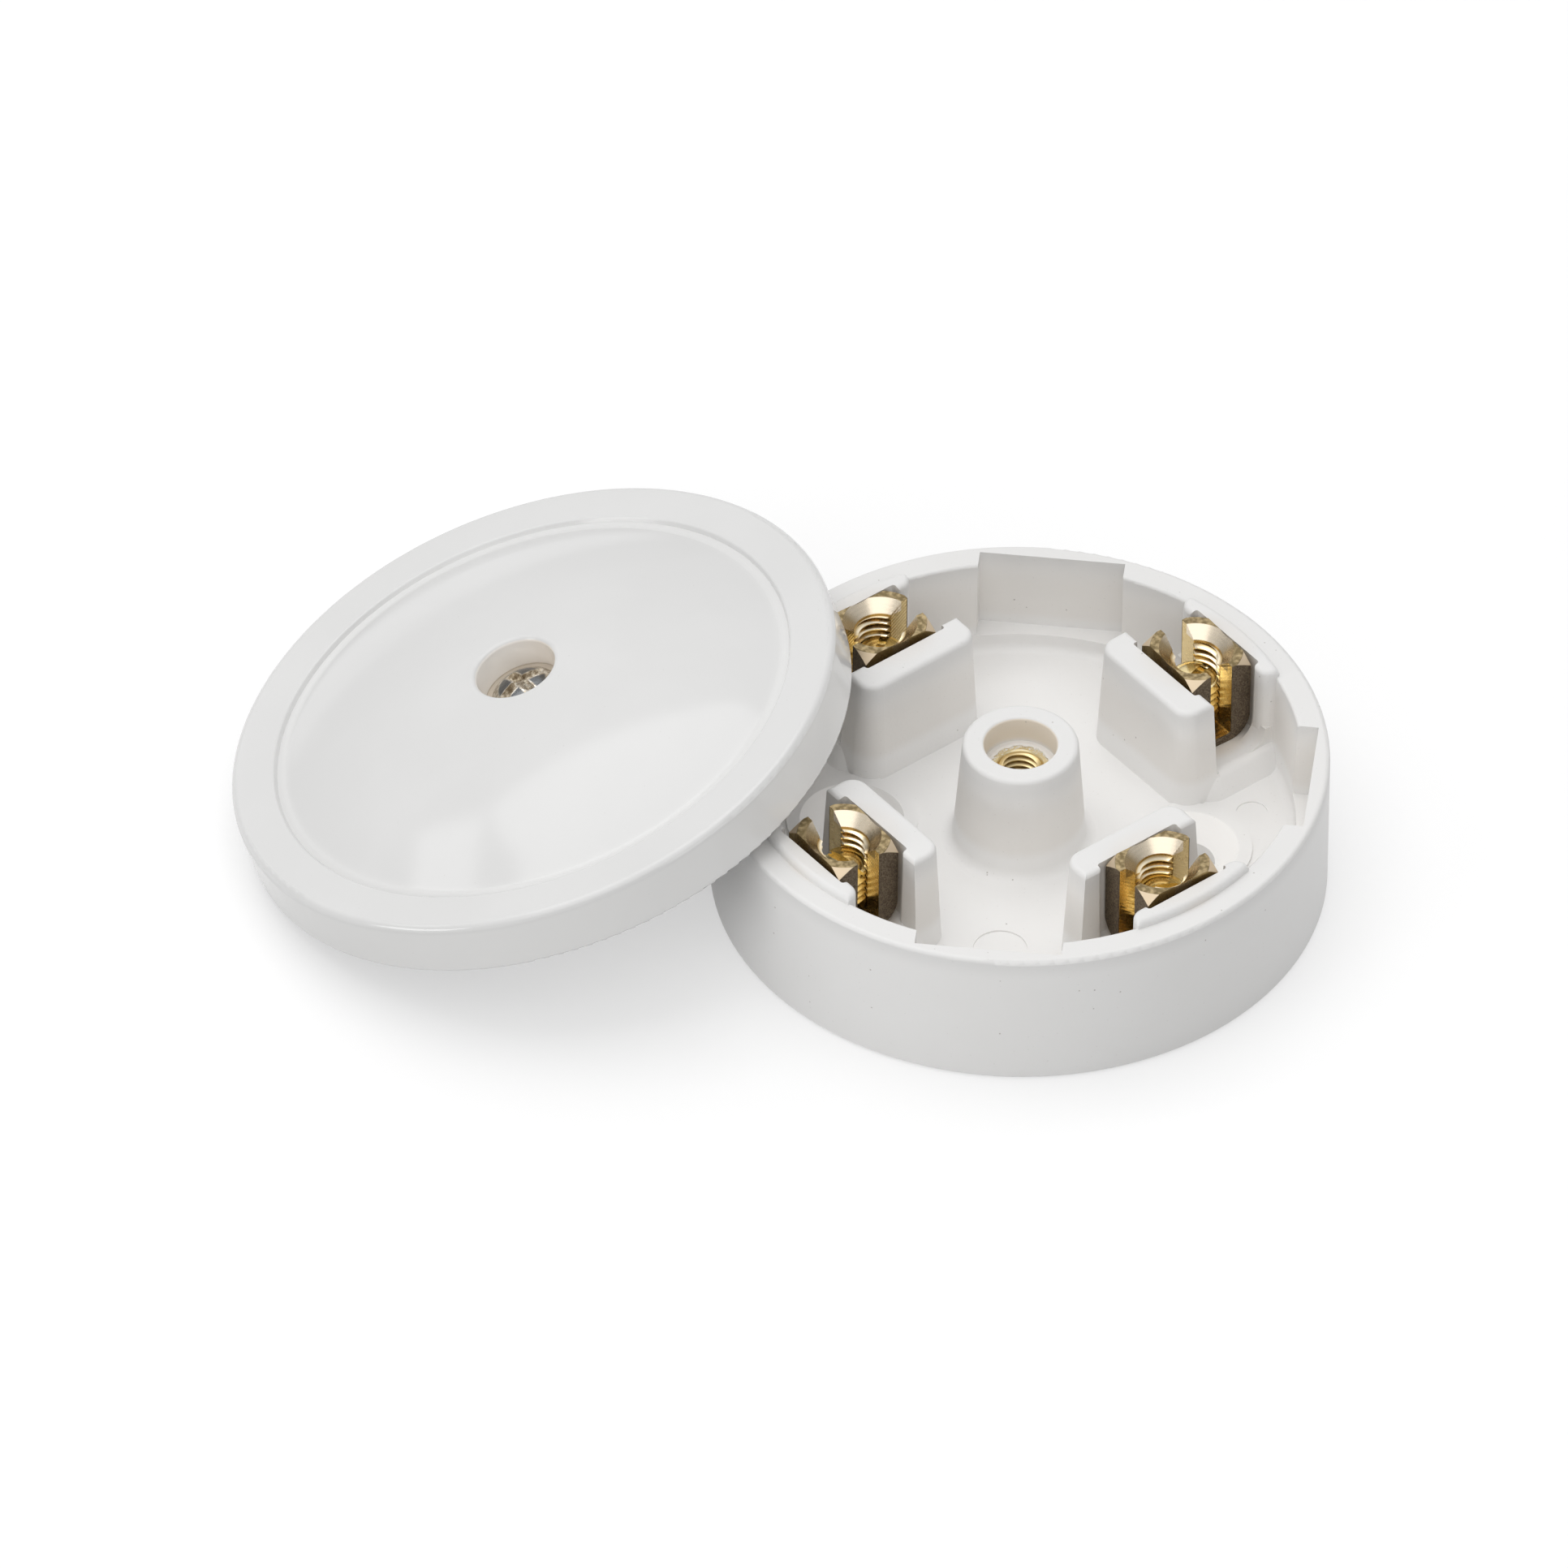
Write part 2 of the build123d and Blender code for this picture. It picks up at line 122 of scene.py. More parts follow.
def thread(bm, root, crest, root_width, crest_width, pitch, low, high, phase=0.0, steps=48):
    """A right-hand helical ridge from the root radius to the crest radius, cut flat at both heights."""
    turns = math.ceil((high - low) / pitch) + 2
    start = phase + pitch * (math.floor((low - phase) / pitch) - 1)
    section = [
        (root, start - root_width / 2),
        (crest, start - crest_width / 2),
        (crest, start + crest_width / 2),
        (root, start + root_width / 2),
    ]
    corners = [bm.verts.new((radius, 0, height)) for radius, height in section]
    sides = [bm.edges.new(pair) for pair in zip(corners, corners[1:] + corners[:1])]
    bmesh.ops.spin(bm, geom=corners + sides, cent=(0, 0, 0), axis=(0, 0, 1),
                   dvec=(0, 0, pitch / steps), angle=2 * math.pi * turns, steps=steps * turns)
    keep_side(bm, (0, 0, low), (0, 0, 1))
    keep_side(bm, (0, 0, high), (0, 0, -1))
    bmesh.ops.recalc_face_normals(bm, faces=bm.faces)


def keep_side(bm, point, towards):
    """Keeps what lies on one side of a plane and closes the cut."""
    geom = bm.verts[:] + bm.edges[:] + bm.faces[:]
    bmesh.ops.bisect_plane(bm, geom=geom, dist=1e-5, plane_co=point, plane_no=towards, clear_inner=True)
    bmesh.ops.holes_fill(bm, edges=[edge for edge in bm.edges if edge.is_boundary], sides=0)


def driver_slot(length, width, depth, turn, crown):
    """The form of a straight slot across a head, centred on its crown."""
    slot = bmesh.new()
    bmesh.ops.create_cube(slot, size=1.0)
    bmesh.ops.scale(slot, vec=(length, width, 2 * depth), verts=slot.verts)
    bmesh.ops.rotate(slot, matrix=Matrix.Rotation(math.radians(turn), 3, "Z"), verts=slot.verts)
    bmesh.ops.translate(slot, vec=(0, 0, crown), verts=slot.verts)
    return slot


# Pieces

def mesh_from(name, bm):
    mesh = bpy.data.meshes.new(name)
    bm.to_mesh(mesh)
    bm.free()
    return mesh


def shown(name, data):
    """An object of some data, in the scene."""
    piece = bpy.data.objects.new(name, data)
    bpy.context.scene.collection.objects.link(piece)
    return piece


def piece_from(name, bm, place, smooth_angle=30):
    """Makes an object of a form drawn in millimetres, with its place in its mesh."""
    bmesh.ops.transform(bm, matrix=place @ Matrix.Scale(MM, 4), verts=bm.verts)
    mesh = mesh_from(name, bm)
    mesh.shade_smooth()
    mesh.set_sharp_from_angle(angle=math.radians(smooth_angle))
    return shown(name, mesh)


def gather(whole, mesh):
    """Adds a mesh to a form and drops the mesh."""
    whole.from_mesh(mesh)
    bpy.data.meshes.remove(mesh)


def cut_out(forms, slots):
    """Cuts the same slots out of each closed form and gathers what is left."""
    whole = bmesh.new()
    cutters = [shown("slot", mesh_from("slot", slot)) for slot in slots]
    for form in [shown("form", mesh_from("form", form)) for form in forms]:
        for cutter in cutters:
            cut = form.modifiers.new("cut", "BOOLEAN")
            cut.operation = "DIFFERENCE"
            cut.solver = "EXACT"
            cut.object = cutter
        after_cuts = form.evaluated_get(bpy.context.evaluated_depsgraph_get())
        gather(whole, bpy.data.meshes.new_from_object(after_cuts))
        bpy.data.objects.remove(form)
    for cutter in cutters:
        bpy.data.objects.remove(cutter)
    return whole


def dress(piece, body, finish):
    """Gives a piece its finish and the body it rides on."""
    piece.data.materials.clear()
    piece.data.materials.append(finish)
    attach(piece, body)


# Materials

class Finish:
    """A node material under construction; its helpers take sockets or plain values and return sockets."""

    def __init__(self, name):
        self.material = bpy.data.materials.new(name)
        self.material.use_nodes = True
        self.tree = self.material.node_tree
        self.shader = self.tree.nodes["Principled BSDF"]

    def node(self, kind, **settings):
        made = self.tree.nodes.new(kind)
        for key, value in settings.items():
            setattr(made, key, value)
        return made

    def join(self, source, target):
        """Links a socket to an input, or writes a plain value into it."""
        if isinstance(source, bpy.types.NodeSocket):
            self.tree.links.new(source, target)
        else:
            target.default_value = source

    def apply(self, kind, *values, **settings):
        """A node with its first inputs filled in."""
        made = self.node(kind, **settings)
        for value, target in zip(values, made.inputs):
            self.join(value, target)
        return made

    def place(self, place=Matrix.Identity(4)):
        """Object coordinates in a piece's own frame, in millimetres."""
        seen = self.node("ShaderNodeMapping", vector_type="TEXTURE")
        self.join(self.node("ShaderNodeTexCoord").outputs["Object"], seen.inputs["Vector"])
        seen.inputs["Location"].default_value = place.translation
        seen.inputs["Rotation"].default_value = place.to_euler()
        seen.inputs["Scale"].default_value = (MM, MM, MM)
        return seen.outputs["Vector"]

    def parts(self, vector):
        return self.apply("ShaderNodeSeparateXYZ", vector).outputs[:3]

    def calc(self, operation, *values):
        return self.apply("ShaderNodeMath", *values, operation=operation).outputs[0]

    def add(self, first, *others):
        for other in others:
            first = self.calc("ADD", first, other)
        return first

    def times(self, first, *others):
        for other in others:
            first = self.calc("MULTIPLY", first, other)
        return first

    def minus(self, first, second):
        return self.calc("SUBTRACT", first, second)

    def size(self, value):
        """A number without its sign."""
        return self.calc("ABSOLUTE", value)

    def larger(self, first, second):
        return self.calc("MAXIMUM", first, second)

    def length(self, x, y):
        return self.calc("SQRT", self.add(self.times(x, x), self.times(y, y)))

    def wave(self, value, rate):
        return self.calc("SINE", self.times(value, rate))

    def ramp(self, value, low, high, from_value=0.0, to_value=1.0):
        """A smooth change from one number to another as a value rises."""
        made = self.node("ShaderNodeMapRange", interpolation_type="SMOOTHSTEP")
        for source, key in ((value, "Value"), (low, "From Min"), (high, "From Max"),
                            (from_value, "To Min"), (to_value, "To Max")):
            self.join(source, made.inputs[key])
        return made.outputs["Result"]

    def above(self, value, low, high):
        """0 where a value is below the low limit and 1 where it is above the high one."""
        return self.ramp(value, low, high)

    def below(self, value, low, high):
        """1 where a value is below the low limit and 0 where it is above the high one."""
        return self.ramp(value, low, high, 1.0, 0.0)

    def blend(self, factor, first, second):
        """Two colours mixed."""
        made = self.node("ShaderNodeMix", data_type="RGBA")
        self.join(factor, made.inputs["Factor"])
        for value, index in zip((first, second), MIX_COLOURS):
            self.join(opaque(value), made.inputs[index])
        return made.outputs[MIX_RESULT]

    def grain(self, vector, scale, detail=2.0, roughness=0.5):
        """Noise about a half, with its scale in cells a millimetre."""
        made = self.node("ShaderNodeTexNoise")
        self.join(vector, made.inputs["Vector"])
        made.inputs["Scale"].default_value = scale
        made.inputs["Detail"].default_value = detail
        made.inputs["Roughness"].default_value = roughness
        return made.outputs["Fac"]

    def uneven(self, value, vector, scale, amount):
        """A value with some grain added."""
        return self.add(value, self.times(self.grain(vector, scale), amount))

    def specks(self, vector, scale, size, share):
        """Small round specks in a share of the cells of a Voronoi pattern."""
        cells = self.node("ShaderNodeTexVoronoi")
        self.join(vector, cells.inputs["Vector"])
        cells.inputs["Scale"].default_value = scale
        near = self.below(cells.outputs["Distance"], size * 0.4, size)
        chance = self.parts(cells.outputs["Color"])[0]
        return self.times(near, self.calc("LESS_THAN", chance, share))

    def bump(self, height, depth, strength):
        """Fine relief, with its depth in millimetres."""
        made = self.node("ShaderNodeBump")
        made.inputs["Strength"].default_value = strength
        made.inputs["Distance"].default_value = depth * MM
        self.join(height, made.inputs["Height"])
        self.join(made.outputs["Normal"], self.shader.inputs["Normal"])

    def set(self, **values):
        """Sets inputs of the shader by their names, as base_color or roughness."""
        for key, value in values.items():
            self.join(opaque(value), self.shader.inputs[key.replace("_", " ").title()])


def opaque(value):
    """A colour with its alpha; anything else as it is."""
    return (*value, 1.0) if isinstance(value, tuple) else value


def moulded_base():
    """White thermosetting plastic, satin inside and a little glossier on the outer side; painted light makes
    it paler inside, and painted light and shade vary its colour zone by zone.
    """
    made = Finish("moulded_base_white")
    spot = made.place()
    x, y, z = made.parts(spot)
    radius = made.length(x, y)

    # Zones: the outer side, the inside, the boss's mouth, round the blocks, and the sunk fixing holes
    outside = made.above(radius, BASE_RADIUS - 0.6, BASE_RADIUS - 0.2)
    inside = made.times(made.minus(1.0, outside), made.below(z, 11.0, RIM_HEIGHT + 0.6))
    mouth_painted_shade = made.times(made.below(radius, COUNTERBORE_RADIUS + 0.02, COUNTERBORE_RADIUS + 0.12),
                       made.above(z, INSERT_TOP - 0.1, INSERT_TOP + 0.7))
    terminal_reach = TERMINAL_DISTANCE / math.sqrt(2)
    from_block = made.length(made.minus(made.size(x), terminal_reach),
                             made.minus(made.size(y), terminal_reach))
    near_block_painted_reflection = made.times(made.ramp(from_block, 4.6, 6.3, 0.42, 0.0), made.ramp(z, 15.4, 15.8, 1.0, 0.25))
    from_hole = made.length(made.minus(made.size(x), FIXING_DISTANCE), y)
    sink_painted_light = made.times(made.below(from_hole, FIXING_SINK_RADIUS - 0.1, FIXING_SINK_RADIUS + 0.1),
                      made.below(z, 4.7, 5.0))

    # Colours, with light and shade painted in zone by zone, then satin and relief
    # Painted light: the outer side is coloured lighter than the rim's top, to make up for the light it lacks.
    side_and_rim_painted_light = made.blend(made.above(z, 12.5, RIM_HEIGHT), (0.815, 0.81, 0.80), (0.735, 0.73, 0.722))
    # Painted light and shade: the inside is coloured paler than the rim's top to lift its shade, and its
    # walls darker and warmer than its floor, as painted warm shade.
    floor_and_walls_painted_light = made.blend(made.above(z, 6.4, 8.0), (0.865, 0.857, 0.845), (0.82, 0.798, 0.768))
    cloud = made.above(made.grain(spot, 0.12, 3.0), 0.35, 0.65)
    large_specks = made.specks(spot, scale=0.8, size=0.10, share=0.16)
    small_specks = made.specks(spot, scale=2.2, size=0.17, share=0.18)
    white = made.blend(inside, side_and_rim_painted_light, floor_and_walls_painted_light)
    white = made.blend(made.times(cloud, 0.03), white, (0.60, 0.57, 0.52))
    # Painted shade: the counterbore's mouth above the insert is coloured warm beige, as warm shade with brass
    # reflected into it.
    white = made.blend(mouth_painted_shade, white, (0.80, 0.735, 0.645))
    # Painted light: the sunk fixing holes are coloured lighter than the plastic round them, to take out their
    # shadow.
    white = made.blend(sink_painted_light, white, (0.94, 0.925, 0.905))
    # Painted reflection: the brown round the terminal blocks, strongest below the walls' tops, stands in for
    # brass reflected onto the walls and shade between block and wall.
    white = made.blend(near_block_painted_reflection, white, (0.70, 0.58, 0.44))
    white = made.blend(made.times(large_specks, 0.65), white, (0.33, 0.30, 0.27))
    white = made.blend(made.times(small_specks, 0.20), white, SPECK_GREY)
    satin = made.ramp(outside, 0.0, 1.0, 0.46, 0.34)
    made.set(base_color=white, roughness=made.uneven(satin, spot, 1.6, 0.10))
    made.bump(made.uneven(made.grain(spot, 3.5, 3.0), spot, 0.5, 0.8), depth=0.03, strength=0.35)
    return made.material


def moulded_cover():
    """Glossy white thermosetting plastic with a very faint moulded ripple; its skirt's side is painted
    lighter, and its screw's well carries painted light and shade.
    """
    made = Finish("moulded_cover_gloss_white")
    spot = made.place(cover_place())
    x, y, z = made.parts(spot)

    # Zones: the screw's well, the skirt's side, and the ledge that the screw's head sits on
    well = made.below(made.length(x, y), COVER_WELL_RADIUS + 0.01, COVER_WELL_RADIUS + 0.11)
    side = made.below(z, 4.6, COVER_SKIRT - 0.05)
    ledge_painted_shade = made.below(z, COVER_SCREW_SEAT + 0.01, COVER_SCREW_SEAT + 0.18)

    # Colours, with painted light on the skirt's side and painted light and shade in the well, then gloss and
    # ripple
    cloud = made.above(made.grain(spot, 0.06, 3.0), 0.35, 0.65)
    small_specks = made.specks(spot, scale=1.3, size=0.09, share=0.12)
    # Painted light and shade: the well's wall is coloured light on one side and darker and warmer on the
    # other, as light falls across it.
    well_painted_light_and_shade = made.blend(made.above(x, -3.4, 3.4), (0.90, 0.875, 0.84), (0.80, 0.745, 0.68))
    # Painted shade: the seat under the screw's head is coloured warm brown, as deep shade with brass and
    # nickel reflected into it.
    well_painted_light_and_shade = made.blend(ledge_painted_shade, well_painted_light_and_shade, (0.60, 0.53, 0.44))
    white = made.blend(cloud, (0.645, 0.643, 0.638), (0.663, 0.661, 0.656))
    # Painted light: the skirt's side is coloured lighter than the dome, to make up for the light it lacks.
    white = made.blend(side, white, (0.75, 0.747, 0.738))
    white = made.blend(well, white, well_painted_light_and_shade)
    white = made.blend(made.times(small_specks, 0.3), white, SPECK_GREY)
    made.set(base_color=white, roughness=made.uneven(0.09, spot, 0.5, 0.06))
    made.bump(made.uneven(made.grain(spot, 0.22, 1.0), spot, 2.2, 0.12), depth=0.06, strength=0.3)
    return made.material


def block_brass(quarter):
    """Brass channel: tarnished skin, dark sawn ends, and bright where it was turned or tapped; the
    countersink's cone carries a painted reflection, bright at the back and dark at the front.
    """
    made = Finish("terminal_brass_" + quarter)
    spot = made.place(terminal_place(quarter))
    x, y, z = made.parts(spot)
    radius = made.length(x, y)

    # Zones: the countersink's cone, the bevelled corners, the flat ring, the sawn ends, the slot and the bore
    from_bevel = made.size(made.minus(made.add(z, radius), BLOCK_TOP + RING_RADIUS))
    cone = made.times(made.above(z, COUNTERSINK_FLOOR - 0.15, COUNTERSINK_FLOOR),
                      made.below(radius, COUNTERSINK_RADIUS - 0.05, COUNTERSINK_RADIUS + 0.02))
    corner = made.times(made.below(from_bevel, 0.03, 0.08), made.below(z, BLOCK_TOP - 0.07, BLOCK_TOP - 0.02))
    ring = made.times(made.above(z, BLOCK_TOP - 0.06, BLOCK_TOP - 0.02),
                      made.above(radius, COUNTERSINK_RADIUS - 0.05, COUNTERSINK_RADIUS + 0.02))
    end = made.times(made.above(made.size(y), BLOCK_HALF_LENGTH - 0.1, BLOCK_HALF_LENGTH - 0.03),
                     made.above(from_bevel, 0.03, 0.08))
    slot = made.below(made.size(x), BLOCK_SLOT_HALF_WIDTH + 0.02, BLOCK_SLOT_HALF_WIDTH + 0.07)
    bored = made.times(made.below(radius, BORE_RADIUS + 0.02, BORE_RADIUS + 0.08),
                       made.below(z, COUNTERSINK_FLOOR - 0.15, COUNTERSINK_FLOOR))
    towards_back = made.minus(made.parts(made.place())[1],
                              TERMINAL_DISTANCE * math.sin(math.radians(TERMINALS[quarter])))

    # Colours
    skin = made.blend(made.grain(spot, 0.9, 4.0), (0.30, 0.21, 0.085), (0.46, 0.34, 0.15))
    cut = made.blend(made.grain(spot, 0.8, 2.0), (0.72, 0.54, 0.25), (0.84, 0.67, 0.36))
    saw_grain = made.grain(spot, 6.5, 3.0, 0.7)
    sawn = made.blend(made.above(saw_grain, 0.36, 0.64), (0.085, 0.062, 0.040), (0.215, 0.165, 0.11))
    tarnish = made.above(made.grain(spot, 1.7, 3.0), 0.36, 0.70)
    tarnished = made.blend(tarnish, (0.20, 0.15, 0.075), (0.50, 0.39, 0.22))
    # Painted reflection: the turned cone is dark brass at the front and bright cream at the back, as dark and
    # bright surroundings reflect in it.
    bright = made.blend(made.above(towards_back, 0.4, 1.8), (0.40, 0.31, 0.18), (0.96, 0.84, 0.66))
    colour = made.blend(made.larger(slot, bored), skin, cut)
    colour = made.blend(end, colour, sawn)
    colour = made.blend(ring, colour, tarnished)
    colour = made.blend(corner, colour, (0.78, 0.64, 0.46))
    colour = made.blend(cone, colour, bright)

    # Metal, roughness, and the marks of turning, slotting and sawing
    rough = made.add(made.ramp(end, 0.0, 1.0, 0.24, 0.50), made.times(ring, 0.10), made.times(corner, 0.22))
    made.set(base_color=colour, metallic=made.ramp(end, 0.0, 1.0, 1.0, 0.75))
    made.set(roughness=made.uneven(rough, spot, 2.0, 0.06))
    turned_wave = made.wave(made.add(radius, made.times(z, 0.2)), 17.0)
    turned_marks = made.times(turned_wave, made.larger(cone, corner), 0.12)
    slot_wave = made.wave(made.add(made.times(z, 1.3), y), 11.0)
    slot_marks = made.times(slot_wave, slot, 0.60)
    saw_marks = made.times(saw_grain, end, 4.0)
    made.bump(made.add(turned_marks, slot_marks, saw_marks), depth=0.01, strength=0.8)
    return made.material


def turned_brass(made, spot, dull, clear, roughness):
    """Bright turned brass, a little smeared: sets the relief and the roughness, and gives the colour."""
    made.set(roughness=made.uneven(roughness, spot, 3.0, 0.12))
    made.bump(made.grain(spot, 9.0, 3.0), depth=0.02, strength=0.3)
    return made.blend(made.grain(spot, 1.7, 4.0), dull, clear)


def grub_screw_brass():
    """The terminal screws' turned brass."""
    made = Finish("terminal_screw_brass")
    made.set(metallic=1.0)
    made.set(base_color=turned_brass(made, made.place(), (0.82, 0.66, 0.32), (0.93, 0.80, 0.48), 0.12))
    return made.material


def speckled_brass():
    """The insert's turned brass, with specks of plastic left on the outer part of its face."""
    made = Finish("insert_brass")
    spot = made.place()
    x, y, z = made.parts(spot)
    more_outside = made.ramp(made.length(x, y), 2.25, 2.75, 0.0, 0.14)
    specks = made.above(made.add(made.grain(spot, 5.5), more_outside), 0.60, 0.67)
    specks = made.times(specks, made.above(z, INSERT_TOP - 0.10, INSERT_TOP - 0.02))
    brass = turned_brass(made, spot, (0.76, 0.64, 0.36), (0.88, 0.77, 0.49), 0.30)
    made.set(base_color=made.blend(specks, brass, (0.80, 0.78, 0.73)))
    made.set(metallic=made.minus(1.0, specks))
    return made.material


def tapped_brass(name, place, crest, root, bright, dark, roughness):
    """A cut thread, with painted highlight along its crest and painted shade down its flanks to the root."""
    made = Finish(name)
    spot = made.place(place)
    x, y = made.parts(spot)[:2]
    # Painted highlight and shade: the colour runs from bright at the crest to dark at the root.
    depth = made.ramp(made.length(x, y), crest, root)
    made.set(base_color=made.blend(depth, bright, dark), metallic=1.0)
    made.set(roughness=made.uneven(roughness, spot, 3.0, 0.10))
    return made.material


def plated_steel():
    """Nickel plating with painted light: the crown is painted dark as a dark reflection, and the driver's
    edges and the recess are painted lighter as glints.
    """
    made = Finish("plated_screw_nickel")
    spot = made.place(cover_place())
    x, y, z = made.parts(spot)
    radius = made.length(x, y)

    # The crown is painted dark where it is on its sphere and away from the edges of the slot and the cross
    crown_sphere = 4.71
    sphere_height = made.calc("SQRT", made.minus(crown_sphere ** 2, made.times(radius, radius)))
    under_crown = made.minus(made.add(COVER_SCREW_CROWN - crown_sphere, sphere_height), z)
    crown = made.times(made.below(under_crown, 0.05, 0.12), made.below(radius, 2.25, 2.55))
    turn = math.radians(COVER_SCREW_TURN)
    across = made.size(made.minus(made.times(y, math.cos(turn)), made.times(x, math.sin(turn))))
    along = made.size(made.add(made.times(x, math.cos(turn)), made.times(y, math.sin(turn))))
    slot_edge = made.below(across, 0.55, 0.68)
    cross_edge = made.times(made.below(along, 0.58, 0.72), made.below(across, 2.2, 2.3))
    crown_painted_dark = made.times(crown, made.minus(1.0, made.larger(slot_edge, cross_edge)))

    # Colours, then roughness and relief
    smear = made.above(made.grain(spot, 1.9, 4.0), 0.38, 0.62)
    # Painted glints and reflections: lighter, brownish colour on the driver's edges and in the recess, mixed
    # with a random smear.
    metal = made.blend(smear, (0.44, 0.38, 0.30), (0.86, 0.82, 0.74))
    # Painted reflection: the crown's dark colour stands in for dark surroundings reflected in it.
    dark = made.blend(made.grain(spot, 2.4, 2.0), (0.13, 0.135, 0.14), (0.20, 0.205, 0.21))
    made.set(base_color=made.blend(crown_painted_dark, metal, dark), metallic=1.0)
    made.set(roughness=made.uneven(0.12, spot, 2.4, 0.14))
    made.bump(made.grain(spot, 3.0, 4.0), depth=0.08, strength=0.5)
    return made.material


def give_finish(node, material):
    """Replaces the material of a CAD node."""
    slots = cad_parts[node].data.materials
    slots.clear()
    slots.append(material)


base_white = moulded_base()
cover_white = moulded_cover()
screw_brass = grub_screw_brass()
insert_brass = speckled_brass()
# The insert thread's two colours are a painted highlight for the crests and painted shade for the roots.
insert_thread_brass = tapped_brass("insert_thread_brass", Matrix.Identity(4), crest=1.68, root=1.98,
                                   bright=(0.90, 0.74, 0.42), dark=(0.66, 0.49, 0.22), roughness=0.26)
nickel = plated_steel()

give_finish("base", base_white)
give_finish("cover", cover_white)
give_finish("boss_insert", insert_brass)
for quarter in TERMINALS:
    give_finish("terminal_" + quarter, block_brass(quarter))


# Terminals: threads in the bores, and the threaded grub screws

def bore_thread(quarter):
    """The thread in a block's bore, on the two walls that the slot leaves."""
    whole = bmesh.new()
    for side in (-1, 1):
        half = bmesh.new()
        thread(half, root=2.56, crest=2.07, root_width=0.64, crest_width=0.10, pitch=TERMINAL_PITCH,
               low=8.3, high=15.05)
        keep_side(half, (side * BLOCK_SLOT_HALF_WIDTH, 0, 0), (side, 0, 0))
        gather(whole, mesh_from("half", half))
    place = terminal_place(quarter)
    # The bore thread's two colours are a painted highlight for the crests and painted shade for the roots.
    finish = tapped_brass("bore_thread_brass_" + quarter, place, crest=2.12, root=2.48,
                          bright=(0.97, 0.86, 0.65), dark=(0.42, 0.29, 0.12), roughness=0.12)
    piece = piece_from("bore_thread_" + quarter, whole, place, smooth_angle=25)
    dress(piece, "box", finish)


def terminal_screw(quarter):
    """A grub screw with its thread between the bore's, a domed end and a driver slot."""
    low = 9.4
    shoulder = 12.7
    crown = 13.2
    core_radius = 1.97
    end_radius = 1.9
    core = bmesh.new()
    turned(core, [(0, low), (end_radius, low), (core_radius, low + 0.12), (core_radius, shoulder),
                  (end_radius, shoulder + 0.13), (1.6, shoulder + 0.27), (1.1, shoulder + 0.39),
                  (0.55, shoulder + 0.47), (0, crown)], steps=48)
    ridge = bmesh.new()
    thread(ridge, root=1.93, crest=2.44, root_width=0.70, crest_width=0.10, pitch=TERMINAL_PITCH,
           low=low + 0.02, high=shoulder + 0.12, phase=TERMINAL_PITCH / 2)
    slot = driver_slot(length=6, width=SCREW_SLOT_WIDTH, depth=SCREW_SLOT_DEPTH,
                       turn=SCREW_SLOT_TURNS[quarter], crown=crown)
    screw = cut_out([core, ridge], [slot])
    piece = piece_from("grub_screw_" + quarter, screw, terminal_place(quarter))
    dress(piece, "terminal_screw_" + quarter, screw_brass)
    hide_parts("terminal_screw_" + quarter)


for quarter in TERMINALS:
    bore_thread(quarter)
    terminal_screw(quarter)


# Boss: the thread in the insert, and the plastic that crept over its edge

def insert_thread():
    """The thread in the boss's insert."""
    bm = bmesh.new()
    thread(bm, root=2.04, crest=1.65, root_width=0.56, crest_width=0.09, pitch=COVER_PITCH,
           low=6.35, high=INSERT_TOP - 0.01, phase=0.375)
    piece = piece_from("insert_thread", bm, Matrix.Identity(4), smooth_angle=25)
    dress(piece, "box", insert_thread_brass)


def moulding_flash():
    """A thin uneven lip of plastic round the top of the insert."""
    outer = 3.1
    inner = 2.76
    foot = INSERT_TOP + 0.02
    bm = bmesh.new()
    turned(bm, [(outer, foot), (inner + 0.04, foot), (inner, foot + 0.04), (inner + 0.04, foot + 0.09),
                (outer, foot + 0.11), (outer, foot)], steps=160)
    for vert in bm.verts:
        radial = Vector((vert.co.x, vert.co.y, 0))
        if radial.length < outer - 0.1:
            wander = noise.noise(radial * 3.1) * 0.20
            vert.co += radial.normalized() * wander + Vector((0, 0, wander * 0.2))
    piece = piece_from("moulding_flash", bm, Matrix.Identity(4), smooth_angle=60)
    dress(piece, "box", base_white)


insert_thread()
moulding_flash()


# Cover screw

def cover_screw():
    """A low round-headed screw with a slot and a cross in its head."""
    tip = COVER_SCREW_TIP
    seat = COVER_SCREW_SEAT
    crown = COVER_SCREW_CROWN
    shank_radius = 1.62
    neck_radius = 1.9
    core = bmesh.new()
    turned(core, [(0, tip), (1.2, tip), (shank_radius, tip + 0.4), (shank_radius, seat - 0.6),
                  (neck_radius, seat - 0.3), (neck_radius, seat), (3.2, seat), (3.25, seat + 0.08),
                  (3.24, seat + 0.22), (3.15, seat + 0.33), (2.8, seat + 0.62), (2.3, seat + 0.95),
                  (1.7, seat + 1.25), (0.9, seat + 1.48), (0, crown)], steps=64)
    ridge = bmesh.new()
    thread(ridge, root=1.58, crest=1.94, root_width=0.56, crest_width=0.09, pitch=COVER_PITCH,
           low=tip + 0.4, high=seat - 1.2)
    slot = driver_slot(length=9.0, width=0.95, depth=0.9, turn=COVER_SCREW_TURN, crown=crown)
    cross = driver_slot(length=4.2, width=1.0, depth=1.15, turn=COVER_SCREW_TURN + 90, crown=crown)
    piece = piece_from("cover_screw_plated", cut_out([core, ridge], [slot, cross]), cover_place())
    dress(piece, "cover_screw", nickel)
    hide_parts("cover_screw")


cover_screw()


# Floor, light and camera

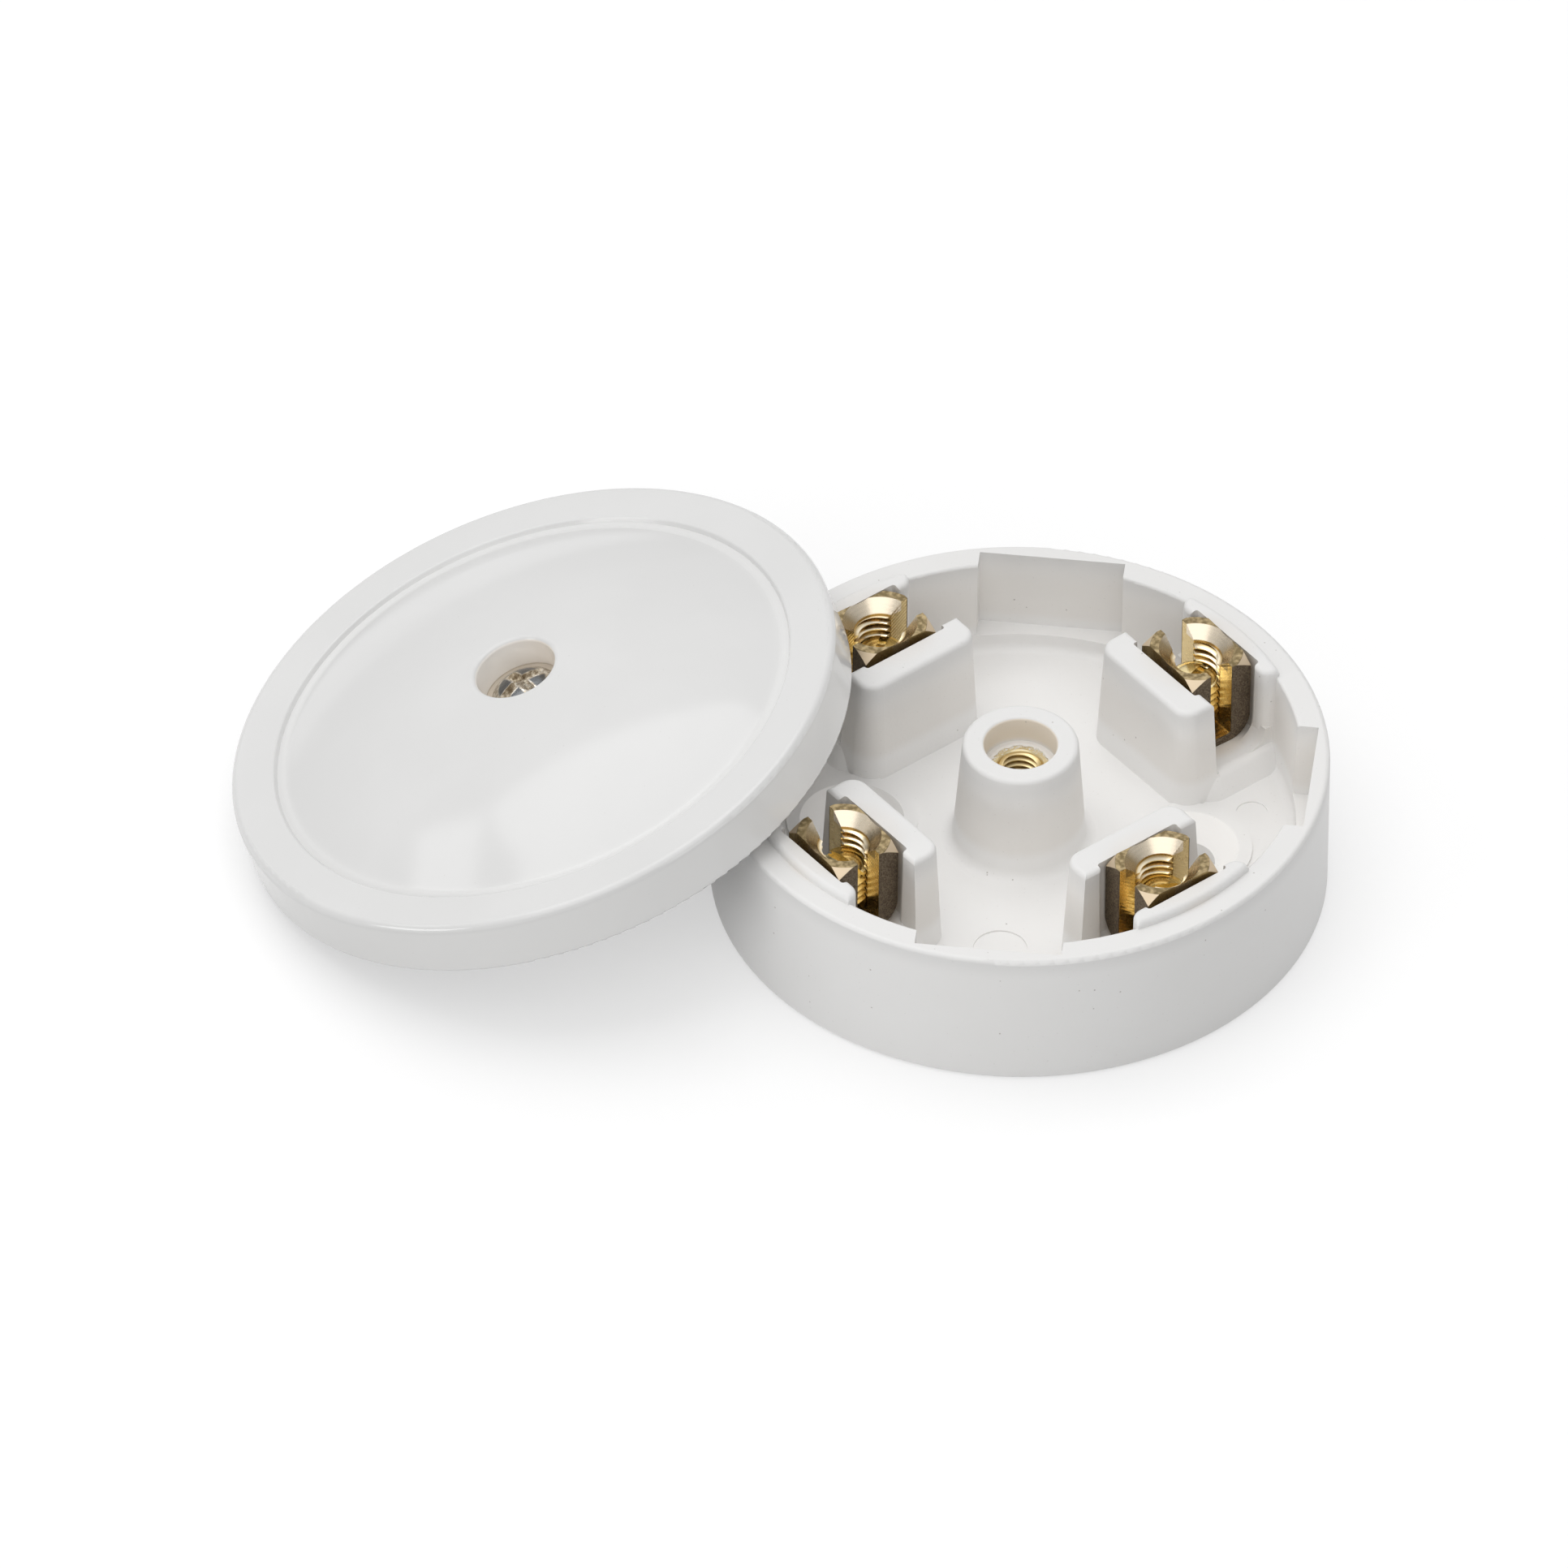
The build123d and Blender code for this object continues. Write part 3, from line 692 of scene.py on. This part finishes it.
def floor_white():
    """A grey table that takes the soft shadow, made white by light added only where it is seen."""
    made = Finish("table_white")
    spot = made.place()
    made.set(base_color=made.blend(made.grain(spot, 0.01), (0.47, 0.47, 0.47), (0.49, 0.49, 0.49)))
    made.set(roughness=1.0, emission_color=(1, 1, 1))
    made.shader.inputs["Specular IOR Level"].default_value = 0.0
    rays = made.node("ShaderNodeLightPath").outputs
    seen = made.add(rays["Is Camera Ray"], made.add(rays["Is Glossy Ray"], rays["Is Transmission Ray"]))
    made.set(emission_strength=made.times(made.calc("MINIMUM", seen, 1.0), 0.50))
    return made.material


def table():
    reach = 3000
    bm = bmesh.new()
    bmesh.ops.create_grid(bm, x_segments=1, y_segments=1, size=1.0)
    bmesh.ops.scale(bm, vec=(reach, reach, 1), verts=bm.verts)
    floor = piece_from("table", bm, Matrix.Identity(4))
    floor.data.materials.append(floor_white())


def lamp(name, place, aim, size, power, turn=0.0):
    """A rectangular soft lamp that looks at a point, turned about its own axis."""
    light = bpy.data.lights.new(name, "AREA")
    light.shape = "RECTANGLE"
    light.size, light.size_y = size
    light.energy = power
    holder = shown(name, light)
    holder.location = place
    look = (Vector(aim) - Vector(place)).to_track_quat("-Z", "Y").to_matrix()
    holder.rotation_euler = (look @ Matrix.Rotation(math.radians(turn), 3, "Z")).to_euler()


def room():
    """A room with a light ceiling, a light back wall and dim walls elsewhere."""
    ceiling = {"From Min": 0.05, "From Max": 0.80, "To Min": 0.15, "To Max": 0.60}
    back_wall = {"From Min": 0.0, "From Max": 0.9, "To Min": 0.0, "To Max": 0.55}
    world = bpy.data.worlds.new("studio")
    bpy.context.scene.world = world
    world.use_nodes = True
    nodes = world.node_tree.nodes
    links = world.node_tree.links
    direction = nodes.new("ShaderNodeSeparateXYZ")
    links.new(nodes.new("ShaderNodeTexCoord").outputs["Generated"], direction.inputs["Vector"])
    total = nodes.new("ShaderNodeMath")
    for axis, levels, target in zip("ZY", (ceiling, back_wall), total.inputs):
        light = nodes.new("ShaderNodeMapRange")
        light.interpolation_type = "SMOOTHSTEP"
        for key, value in levels.items():
            light.inputs[key].default_value = value
        links.new(direction.outputs[axis], light.inputs["Value"])
        links.new(light.outputs["Result"], target)
    sky = nodes["Background"]
    sky.inputs["Color"].default_value = (1, 1, 1, 1)
    links.new(total.outputs[0], sky.inputs["Strength"])


def camera():
    """A long lens, fitted to the photograph by the rim and the boss; the shifts are in millimetres."""
    turn = math.radians(6.298)
    rise = math.radians(42.455)
    roll = math.radians(0.545)
    distance = 3.112
    aim_height = 7
    shift_left = 22.457
    shift_up = 2.896
    back = Vector((math.sin(turn) * math.cos(rise), -math.cos(turn) * math.cos(rise), math.sin(rise)))
    level = Vector((math.cos(turn), math.sin(turn), 0))
    steep = back.cross(level)
    right = math.cos(roll) * level + math.sin(roll) * steep
    up = math.cos(roll) * steep - math.sin(roll) * level
    aim = (Vector((0, 0, aim_height)) - shift_left * right + shift_up * up) * MM
    lens = bpy.data.cameras.new("camera")
    lens.sensor_width = 36
    lens.lens = 749.2
    lens.clip_start, lens.clip_end = 0.1, 50
    view = shown("camera", lens)
    place = Matrix((right, up, back)).transposed().to_4x4()
    place.translation = aim + back * distance
    view.matrix_world = place
    bpy.context.scene.camera = view


table()
room()
lamp("overhead_softbox", place=(-0.206, 0.113, 0.80), aim=(-0.206, 0.113, 0), size=(0.76, 0.60), power=2.3,
     turn=25.9)
lamp("front_softbox", place=(0.06, -0.62, 0.68), aim=(-0.02, 0, 0.01), size=(1.10, 0.85), power=2.05)
lamp("left_softbox", place=(-0.88, 0.10, 0.80), aim=(-0.04, 0, 0), size=(0.30, 0.25), power=0.40)
lamp("front_left_fill", place=(-0.75, -0.60, 0.18), aim=(-0.02, 0, 0), size=(0.50, 0.30), power=2.55)
lamp("front_right_fill", place=(0.80, -0.60, 0.18), aim=(-0.02, 0, 0), size=(0.50, 0.30), power=1.1)
camera()

bpy.context.scene.view_settings.view_transform = "Standard"
